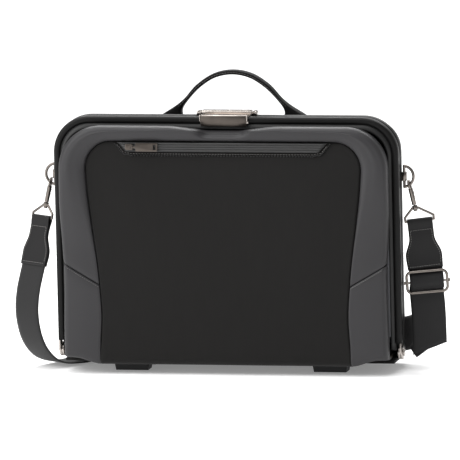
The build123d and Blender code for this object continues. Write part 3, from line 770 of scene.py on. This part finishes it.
def build_back_panel():
    """Padded fabric back with a piped edge and a row of stitching."""
    outline = door_line(BACK_HALF - 0.6, BACK_TOP - 0.6, BACK_CORNER, BASE_Z + 4, steps=10, rise=16)
    loop = [(x, z) for x, z, _, _ in outline]
    (xa, za), (xb, zb) = loop[-1], loop[0]
    loop += [(mix(xa, xb, k / 16), mix(za, zb, k / 16)) for k in range(1, 16)]
    rings = []
    for share in (1.0, 0.992, 0.98, 0.955, 0.9, 0.8, 0.65, 0.45, 0.22):
        crown = 0.9 * (1 - smooth(0.6, 1.0, share))
        edge = 2.4 * smooth(0.955, 1.0, share)
        y = REAR_Y - 0.2 + crown - edge
        rings.append([at(x * share, y, mix(BACK_MIDDLE_Z, z, share)) for x, z in loop])
    back = grid_object("back_fabric", rings, close_columns=True)
    fill_middle(back)
    face_toward(back, (0, 1, 0))
    thicken(back, 2.0)
    fit(back, BACK_FABRIC, "front_fabric", "root", "back_panel")
    piping = tube("back_piping", back_line(-0.6, BACK_CORNER, 6, -0.4), 1.5)
    fit(piping, FRAME_LEATHER, "frame_leather", "root")
    thread = stitches("back_thread", back_line(9, BACK_CORNER - 7, 14, 0.3), lambda _: Vector((0, 1, 0)))
    fit(thread, THREAD, "webbing", "root")


# ---- gate frame ----
def build_frame_wrap(name, body, side):
    """Leather sleeve over one half of the gate frame, with a rounded section."""
    middle = side * (FRAME_GAP + FRAME_DEPTH / 2)
    half_depth, half_thick, corner = FRAME_DEPTH / 2, FRAME_THICK / 2, 3.6
    rows = []
    half, top, bend = (size - half_thick for size in (FRAME_HALF, FRAME_TOP, FRAME_CORNER))
    for x, z, nx, nz in door_line(half, top, bend, FRAME_FOOT, steps=18):
        section = []
        for cx, cy, start in ((1, 1, 0), (-1, 1, 90), (-1, -1, 180), (1, -1, 270)):
            radius = corner if cy * side > 0 or cx > 0 else 2.4
            for k in range(5):
                a = math.radians(start + 22.5 * k)
                out = cx * (half_thick - radius) + radius * math.cos(a)
                deep = cy * (half_depth - radius) + radius * math.sin(a)
                section.append(at(x + nx * out, middle + deep, z + nz * out))
        rows.append(section)
    wrap = grid_object(f"{name}_frame_leather", rows, close_columns=True, caps=True)
    fit(wrap, FRAME_LEATHER, "frame_leather", body, f"{name}_frame_wrap")
    return wrap


def build_frame_binding(name, body, side):
    """Dark cloth binding that joins one frame half to its shell."""
    rows = []
    gap = FRAME_HALF - FRAME_THICK - SHELL_HALF
    for x, z, nx, nz in door_line(SHELL_HALF, SHELL_TOP, SHELL_CORNER, FRAME_FOOT - 8, steps=18):
        ends = [(-3.5, 12.9), (-1.5, 12.0), (gap + 2.2, 11.2)]
        rows.append([at(x + nx * out, side * y, z + nz * (out + (1.6 if out > 0 else 0))) for out, y in ends])
    binding = grid_object(f"{name}_binding", rows)
    thicken(binding, 0.6)
    fit(binding, EDGE_PAINT, "front_fabric", body)


LOCK_POCKET = (0.054, 0.0092, 0.012)


def lock_gap(obj):
    """Cut the lock's pocket out of the rear sleeve, so that the dials clear it."""
    low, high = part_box("lock_housing")
    bpy.ops.mesh.primitive_cube_add(size=1, location=(0, (low.y + high.y) / 2, low.z))
    cutter = bpy.context.object
    cutter.scale = LOCK_POCKET
    bpy.context.view_layer.update()
    modifier = obj.modifiers.new("pocket", "BOOLEAN")
    modifier.object = cutter
    modifier.solver = "EXACT"
    apply_modifiers(obj)
    bpy.data.objects.remove(cutter)


# ---- handle ----
HANDLE_Y = (sum(c.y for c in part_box("handle")) / 2 - PARTING) / MM
HANDLE_INNER = [(62.0, 297.5), (61.8, 306), (54.5, 316.5), (40.5, 331), (21.5, 343.2), (0, 347.4)]
HANDLE_OUTER = [
    (89.0, 297.5), (84.5, 300.5), (69, 310.2), (57.6, 319.8), (43.6, 335.3), (23, 348.5), (0, 352.9),
]


def arch(half):
    """Smooth arch through a half's points and their mirror images, from the right foot to the left."""
    return spline_points([Vector(p) for p in half] + [Vector((-x, z)) for x, z in half[-2::-1]], 8)


def build_handle():
    """Arched handle of folded leather, rounded on the outside, with flared feet."""
    inner, outer = arch(HANDLE_INNER), arch(HANDLE_OUTER)
    count = 90
    pairs = [(curve_at(inner, n / count), curve_at(outer, n / count)) for n in range(count + 1)]
    rows = []
    for n, (a, b) in enumerate(pairs):
        centre, reach = (a + b) / 2, (b - a) / 2
        flare = smooth(318, 300, centre.y)
        deep = mix(7.2, 7.9, flare)
        power = mix(0.62, 0.35, flare)
        row = []
        for k in range(20):
            angle = 2 * math.pi * k / 20
            c, s = math.cos(angle), math.sin(angle)
            u = math.copysign(abs(c)**power, c)
            v = math.copysign(abs(s)**power, s)
            row.append(at(centre.x + reach.x * u, HANDLE_Y + deep * v, centre.y + reach.y * u))
        rows.append(row)
    grip = grid_object("handle_leather", rows, close_columns=True, caps=True)
    wear(grip, HANDLE_LEATHER, "frame_leather", "handle")
    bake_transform(grip)
    for face, label in ((-1, "front"), (1, "back")):
        middles = [(a + b) / 2 for a, b in pairs[12:-12]]
        line = [at(middle.x, HANDLE_Y + face * 7.25, middle.y) for middle in middles]
        thread = stitches(f"handle_thread_{label}", line, lambda _: Vector((0, face, 0)), thread=0.25)
        fit(thread, THREAD, "webbing", "handle")


# ---- zip ----
ZIP_LOW, ZIP_HIGH = (c.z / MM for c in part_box("zip_tape"))
ZIP_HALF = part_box("zip_tape")[1].x / MM
ZIP_SLANT = 10.0
SEAM_TOP = 275.0             # upper ends of the stitching round the zip


def build_zip():
    """Coated zip band: three soft ridges, a rolled top edge and slanted ends."""
    height = ZIP_HIGH - ZIP_LOW
    rows = []
    for n in range(49):
        t = n / 48
        lift = 0.9 + 1.15 * abs(math.sin(t * math.pi * 4)) ** 0.6
        if t > 0.8:
            lift = 1.2 + 1.3 * math.sin((t - 0.8) / 0.2 * math.pi) ** 0.8
        if n in (0, 48):
            lift = 0.2
        z = ZIP_LOW + height * t
        half = ZIP_HALF - ZIP_SLANT * (1 - t)
        row = []
        for k in range(81):
            s = k / 80 * 2 - 1
            end = smooth(0, 1.4, (1 - abs(s)) * half)
            row.append(at(s * half, front_y(z) - 1.5 - mix(0.2, lift, end), z))
        rows.append(row)
    band = grid_object("zip_band", rows)
    face_toward(band, (0, -1, 0))
    thicken(band, 0.8)
    fit(band, ZIP_BAND, "zip", "lid", "zip_tape")
    build_zip_threads()


def build_zip_threads():
    """Heavy zigzag stitching under the zip and round its ends, and a fine row inside it."""
    low_half = ZIP_HALF - ZIP_SLANT
    right = [
        (low_half - 8, -1.6, ZIP_LOW - 4.4, ZIP_LOW),
        (low_half + 3, -1.3, ZIP_LOW - 2.4, ZIP_LOW),
        (ZIP_HALF + 3.5, -1.2, SEAM_TOP, SEAM_TOP),
    ]
    corners = [(-x, y, z, face) for x, y, z, face in right[::-1]] + right
    line = [at(x, front_y(face) + y, z) for x, y, z, face in corners]
    dense = [a.lerp(b, k / 24) for a, b in zip(line, line[1:]) for k in range(24)] + [line[-1]]
    zig = [p + Vector((0, 0, (0.45 if n % 2 else -0.45) * MM)) for n, p in enumerate(dense)]
    thread = stitches("zip_thread", zig, front_out, step=3.6, length=2.1, thread=0.9)
    fit(thread, EDGE_PAINT, "webbing", "lid")
    inner = [p + UP * 1.9 * MM for p in dense[6:-6]]
    fit(stitches("zip_thread_edge", inner, front_out, thread=0.3), THREAD, "webbing", "lid")


# ---- shoulder strap ----
LEFT_FALL = [(-25, 95), (-28, 70), (-24, 46), (-15, 27), (0, 12), (19, 4.2), (44, 1.5)]
LEFT_BAR = Vector((-227.6, 8.0, 179.6))
RIGHT_BAR = Vector((227.6, 9.0, 179.6))
LEFT_TURN, RIGHT_TURN = math.radians(-35), math.radians(12)
LEFT_WIDE = Vector((math.cos(LEFT_TURN), math.sin(LEFT_TURN), 0))
LEFT_BACK = Vector((-LEFT_WIDE.y, LEFT_WIDE.x, 0))
LEFT_DOWN = (LEFT_BACK * -0.28 + Vector((0, 0, -1))).normalized()
RIGHT_FLAT = Vector((math.cos(RIGHT_TURN), math.sin(RIGHT_TURN), 0))
RIGHT_DOWN = (RIGHT_FLAT * 0.10 + Vector((0, 0, -1))).normalized()
RIGHT_WIDE = (RIGHT_FLAT - RIGHT_DOWN * RIGHT_FLAT.dot(RIGHT_DOWN)).normalized()
TAB_LENGTH = 57.5
FOLD = Vector((236.0, 14.0, 26.4))
FOLD_SLOPE = math.radians(20)


def ribbon_rows(route, steps=7):
    """Closed sections of webbing along a route of (point, width direction) pairs in millimetres."""
    points = spline_points([p for p, _ in route], steps)
    widths = spline_points([w for _, w in route], steps)
    rows, centres = [], []
    for n, point in enumerate(points):
        before, after = points[max(n - 1, 0)], points[min(n + 1, len(points) - 1)]
        heading = (after - before).normalized()
        across = (widths[n] - heading * widths[n].dot(heading)).normalized()
        out = across.cross(heading)
        section = []
        for face in (1, -1):
            for k in range(12):
                u = (k / 11 * 2 - 1) * face
                edge = 1 - 0.55 * abs(u) ** 14
                section.append(at(*(point + across * u * WEB_WIDTH / 2 + out * face * WEB_THICK / 2 * edge)))
        rows.append(section)
        centres.append(at(*point))
    length = sum((b - a).length for a, b in zip(centres, centres[1:]))
    return rows, length


def webbing_object(name, rows, length, held, rests, material=WEBBING):
    """Sheet of webbing whose weave follows it."""
    obj = grid_object(name, rows, close_columns=True, caps=True)
    layer = obj.data.uv_layers.new(name="UVMap")
    middle = [row[MIDDLE_THREAD] for row in rows]
    starts = [sum((b - a).length for a, b in zip(middle, middle[1:n + 1])) for n in range(len(rows))]
    lookup = {}
    for n, row in enumerate(rows):
        for k, p in enumerate(row):
            u = k / 11 if k < 12 else (23 - k) / 11
            lookup[tuple(round(c, 6) for c in p)] = (u, starts[n] / WEB_UV_LENGTH)
    for loop in obj.data.loops:
        key = tuple(round(c, 6) for c in obj.data.vertices[loop.vertex_index].co)
        layer.data[loop.index].uv = lookup.get(key, (0.5, 0.0))
    wear(obj, material, "webbing")
    return obj


def left_route():
    """The strap from the left tab to the floor and behind the bag, with the number of its landing point."""
    start = LEFT_BAR + LEFT_DOWN * (TAB_LENGTH + 0.1)
    route = [(start - LEFT_DOWN * 6, LEFT_WIDE), (start, LEFT_WIDE)]
    route += [(LEFT_BAR + LEFT_BACK * s + Vector((0, 0, z - LEFT_BAR.z)), LEFT_WIDE) for s, z in LEFT_FALL]
    landing = len(route)
    route += [
        (Vector((-190, 68, 1.5)), LEFT_WIDE),
        (Vector((-163, 84, 4.5)), Vector((0.5, -0.84, 0.12))),
        (Vector((-124, 88, 14.5)), Vector((0.15, -0.75, 0.65))),
        (Vector((-70, 81, 21)), UP),
        (Vector((0, 77, 20.5)), UP),
        (Vector((80, 75, 21)), UP),
        (Vector((150, 79, 25)), Vector((0, 0.12, 1))),
        (Vector((196, 77, 34)), Vector((0, 0.12, 1))),
        (Vector((213, 56, 42)), Vector((0.15, 0, 1))),
        (Vector((218, 39, 44)), Vector((0.35, 0, 0.94))),
        (Vector((225.5, 25, 38)), Vector((0.75, 0.1, 0.66))),
        (Vector((235.6, 17.2, 27.2)), Vector((0.94, 0.1, 0.342))),
    ]
    return route, landing


def right_rows():
    """Webbing from the right tab down to its slanted fold, where each thread ends at its own height."""
    start = RIGHT_BAR + RIGHT_DOWN * (TAB_LENGTH - 6)
    above_fold = [FOLD + Vector((-2.5, -2, 74)), FOLD + Vector((-0.5, -1, 40))]
    points = spline_points([start, start + RIGHT_DOWN * 20] + above_fold + [FOLD], 6)
    wide = (RIGHT_WIDE - UP * RIGHT_WIDE.z).normalized()
    rows = []
    for n, point in enumerate(points):
        share = n / (len(points) - 1)
        across = RIGHT_WIDE.lerp(wide, share)
        tilt = math.tan(FOLD_SLOPE) * share**1.5
        row = []
        for face in (1, -1):
            for k in range(12):
                u = (k / 11 * 2 - 1) * face
                half = WEB_THICK / 2 * (1 - 0.55 * abs(u)**14)
                side = across * u * WEB_WIDTH / 2
                row.append(at(*(point + side + UP * u * tilt * WEB_WIDTH / 2 + Vector((0, -face * half, 0)))))
        rows.append(row)
    return rows, sum((b[MIDDLE_THREAD] - a[MIDDLE_THREAD]).length for a, b in zip(rows, rows[1:]))


def build_strap():
    """The strap in three pieces, which meet at the floor and at the slanted fold."""
    route, landing = left_route()
    drop = webbing_object("strap_webbing_left", *ribbon_rows(route[:landing]), "hung", ["strap_tab_left"])
    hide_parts("strap_drop_left")
    run = webbing_object("strap_webbing_run", *ribbon_rows(route[landing - 1:]), "laid", [], WEBBING_BACK)
    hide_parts("strap_run")
    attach(run, "root")
    right = webbing_object("strap_webbing_right", *right_rows(), "hung", ["strap_tab_right"])
    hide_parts("strap_drop_right")
    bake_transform(drop)
    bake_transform(right)


def forward(wide, down):
    """Direction square to a hanging piece that faces the front."""
    out = wide.cross(down)
    return -out if out.y > 0 else out


def tab_outline(s):
    """Half-width of the leather tab at a distance below its bar."""
    return 15 + 6.6 * smooth(20, 42, s) - 0.7 * smooth(44, TAB_LENGTH, s)


def tab_lift(s):
    """Distance of the tab's skin from its middle plane, and the skin's ripple, at s mm below the bar."""
    ripple = 0.5 * math.sin(s / 9.0) * smooth(8, 20, s) * smooth(TAB_LENGTH, TAB_LENGTH - 11, s)
    return mix(3.1, 1.9, smooth(2, 12, s)), ripple


def build_tab(name, bar, wide, down, body):
    """Leather tab: rolled over the bar, flared, with a row of stitching all round."""
    out = forward(wide, down)
    steps = [mix(2.0, TAB_LENGTH, n / 19) for n in range(20)]
    points = []
    for s in reversed(steps):
        lift, ripple = tab_lift(s)
        points.append((s, lift + ripple, tab_outline(s)))
    for angle in range(-70, 71, 20):
        turn = math.radians(angle)
        points.append((-3.1 * math.cos(turn), -3.1 * math.sin(turn), 14.9))
    for s in steps:
        lift, ripple = tab_lift(s)
        points.append((s, -lift + ripple, tab_outline(s)))
    grid = []
    for s, lift, half in points:
        grid.append([at(*(bar + wide * (k / 7 - 1) * half + down * s + out * lift)) for k in range(15)])
    skin = grid_object(f"{name}_leather", grid)
    centre = at(*(bar + down * 25))
    inward = sum(1 if (p.center - centre).dot(p.normal) > 0 else -1 for p in skin.data.polygons)
    if inward < 0:
        skin.data.flip_normals()
    thicken(skin, 1.5)
    fit(skin, TAB_LEATHER, "leather", body, name)

    def surface(across, s):
        return at(*(bar + wide * across + down * s + out * (sum(tab_lift(s)) + 0.2)))

    def seam(s):
        return tab_outline(s) - 2.4

    rows = {}
    high, low = 11, TAB_LENGTH - 3.5
    for label, s in (("top", high), ("low", low)):
        rows[label] = [surface((k / 4 - 1) * seam(s), s) for k in range(9)]
    for label, side in (("a", -1), ("b", 1)):
        rows[label] = [surface(side * seam(s), s) for s in range(high, int(low) + 1, 2)]
    for label, line in rows.items():
        thread = stitches(f"{name}_thread_{label}", line, lambda _: out, step=2.8, length=2.0, thread=0.38)
        fit(thread, THREAD, "webbing", body)


# ---- CAD pieces that stay, with the width of their round edges ----
KEPT = {
    ("lock_housing", "latch_base"): (PEWTER_BRIGHT, 0.5),
    ("latch_plate",): (PEWTER_PLATE, 0.7),
    ("dial_1", "dial_2", "dial_3"): (PEWTER_DARK, 0.2),
    ("release_button_left", "release_button_right"): (PEWTER_BRIGHT, 0.6),
    ("zip_slider", "zip_pull"): (PEWTER_PLATE, 0.35),
    ("d_ring_left", "d_ring_right", "ring_keepers"): (PEWTER, 0.3),
    ("hook_left", "hook_right", "hook_bolt_left", "hook_bolt_right"): (PEWTER, 0.25),
    ("swivel_loop_left", "swivel_loop_right"): (PEWTER, 0.25),
    ("adjuster_ring", "adjuster_bar"): (PEWTER, 0.3),
    ("hinge_leaves_front", "hinge_leaves_rear", "hinge_rivets"): (STEEL, 0.35),
    ("front_frame_core", "rear_frame_core", "dial_axle", "latch_pin", "foot_screws"): (STEEL, 0.2),
    ("foot_front_left", "foot_front_right", "foot_rear_left", "foot_rear_right"): (RUBBER, 1.2),
    ("handle_patches",): (HANDLE_LEATHER, 1.2),
    ("handle_rivets",): (PEWTER, 0.3),
    ("base_board",): (BOARD, 0.5),
    ("bottom_panel",): (FRONT_FABRIC, 1.0),
    ("rear_lining", "lid_lining", "laptop_divider", "pocket_bag"): (LINING, 0.6),
}


def dress_cad_pieces():
    """Material and small round edges for the CAD pieces that need no other shape."""
    for names, (material, width) in KEPT.items():
        for name in names:
            paint(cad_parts[name], material)
            soften(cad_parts[name], width)


STAY_REACH = 12.4             # the stays reach this far into each frame half


def build_side_gusset(name, side):
    """Pleated fabric stay that fans out between the frame halves."""
    rows = []
    pleats = 8
    for n in range(24):
        z = mix(44, 236, n / 23)
        row = []
        for k in range(pleats * 4 + 1):
            t = k / (pleats * 4)
            fold = abs((t * pleats) % 1 * 2 - 1)
            x = 188 + 6.5 * fold * smooth(236, 225, z)
            row.append(at(side * x, mix(-STAY_REACH, STAY_REACH, t), z))
        rows.append(row)
    stay = grid_object(f"{name}_pleats", rows)
    thicken(stay, 0.4)
    wear(stay, LINING, "lining", name)
    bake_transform(stay)


ADJUSTER_PROFILE = [
    (-9.6, -1.6), (-7.4, 0.4), (-4.5, 2.4), (-1.5, 3.1), (1.5, 3.1), (4.5, 2.3), (7.4, 0.4), (9.6, -1.6),
]


def build_adjuster_wrap():
    """Webbing that goes round the adjuster's centre bar in two slopes."""
    low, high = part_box("adjuster_bar")
    middle = (low + high) / 2
    out = forward(RIGHT_WIDE, RIGHT_DOWN)
    rows = []
    for s, lift in spline_points([Vector(p) for p in ADJUSTER_PROFILE], 5):
        row = []
        for k in range(13):
            u = k / 12 * 2 - 1
            row.append(middle + (RIGHT_WIDE * u * 19.6 + RIGHT_DOWN * s + out * lift) * MM)
        rows.append(row)
    wrap = grid_object("adjuster_webbing", rows, uv=True)
    face_toward(wrap, out)
    thicken(wrap, 1.6)
    fit(wrap, WEBBING, "webbing", "adjuster", "adjuster_wrap")


# ---- camera, lights and floor ----
CAMERA_AZIMUTH, CAMERA_ELEVATION, CAMERA_ROLL = (math.radians(a) for a in (12, 8.5, 1.3))
CAMERA_DISTANCE = 12.0
CAMERA_TARGET = at(1.2, 0, 167.6)


def build_stage():
    """Camera, soft studio light and a pale floor."""
    scene = bpy.context.scene
    scene.view_settings.view_transform = "Standard"
    level = math.cos(CAMERA_ELEVATION)
    back = Vector((
        math.sin(CAMERA_AZIMUTH) * level,
        -math.cos(CAMERA_AZIMUTH) * level,
        math.sin(CAMERA_ELEVATION),
    ))
    camera = new_object("camera", bpy.data.cameras.new("camera"))
    camera.data.lens = 795.9
    camera.data.sensor_width = 36.0
    camera.data.clip_end = 100.0
    turn = back.to_track_quat("Z", "Y").to_matrix().to_4x4()
    place = Matrix.Translation(CAMERA_TARGET + back * CAMERA_DISTANCE)
    camera.matrix_world = place @ turn @ Matrix.Rotation(-CAMERA_ROLL, 4, "Z")
    scene.camera = camera

    world = bpy.data.worlds.new("studio")
    world.use_nodes = True
    background = world.node_tree.nodes["Background"]
    background.inputs["Color"].default_value = (1, 1, 1, 1)
    background.inputs["Strength"].default_value = 0.40
    scene.world = world

    sun = bpy.data.lights.new("ceiling light", "SUN")
    sun.energy = 2.9
    sun.angle = math.radians(70)
    lamp = new_object("ceiling light", sun)
    lamp.rotation_euler = Vector((0.42, 0.30, -1.0)).to_track_quat("-Z", "Y").to_euler()
    add_area("left softbox", (-1.2, -0.95, 0.6), (-0.1, 0, 0.15), (0.8, 1.2), 9.5)
    add_area("overhead strip", (0.0, 1.1, 1.3), (0, 0, 0.3), (1.8, 0.5), 24)
    add_area("right strip", (1.5, 0.9, 0.6), (0.2, 0, 0.2), (0.25, 1.0), 2.5)

    bpy.ops.mesh.primitive_plane_add(size=60, location=(0, 0, -0.0005))
    floor = bpy.context.object
    floor.name = "floor"
    look = Look("pale floor", (0.9, 0.9, 0.9), 0.9)
    patches = look.noise(0.6, 2, 0.5)
    look.color_from(patches, "Fac", [(0.3, (0.89, 0.89, 0.89)), (0.7, (0.91, 0.91, 0.91))])
    look.shader.inputs["Emission Color"].default_value = (1, 1, 1, 1)
    look.shader.inputs["Emission Strength"].default_value = 0.22
    floor.data.materials.append(look.material)


def add_area(name, place, target, size, power):
    """Rectangular softbox that faces a target."""
    light = bpy.data.lights.new(name, "AREA")
    light.shape = "RECTANGLE"
    light.size, light.size_y = size
    light.energy = power
    obj = new_object(name, light)
    obj.location = place
    obj.rotation_euler = (Vector(target) - Vector(place)).to_track_quat("-Z", "Y").to_euler()


# ---- build everything ----
build_stage()
build_strap()
build_front_leather()
build_front_fabric()
build_rear_gusset()
build_back_panel()
build_frame_wrap("front", "lid", -1)
build_frame_binding("front", "lid", -1)
build_frame_binding("rear", "root", 1)
rear_wrap = build_frame_wrap("rear", "root", 1)
lock_gap(rear_wrap)
build_handle()
build_zip()
build_tab("strap_tab_left", LEFT_BAR, LEFT_WIDE, LEFT_DOWN, "strap_end_left")
build_tab("strap_tab_right", RIGHT_BAR, RIGHT_WIDE, RIGHT_DOWN, "strap_end_right")
build_adjuster_wrap()
for side_name, side_sign in (("left", -1), ("right", 1)):
    build_side_gusset(f"side_gusset_{side_name}", side_sign)
dress_cad_pieces()
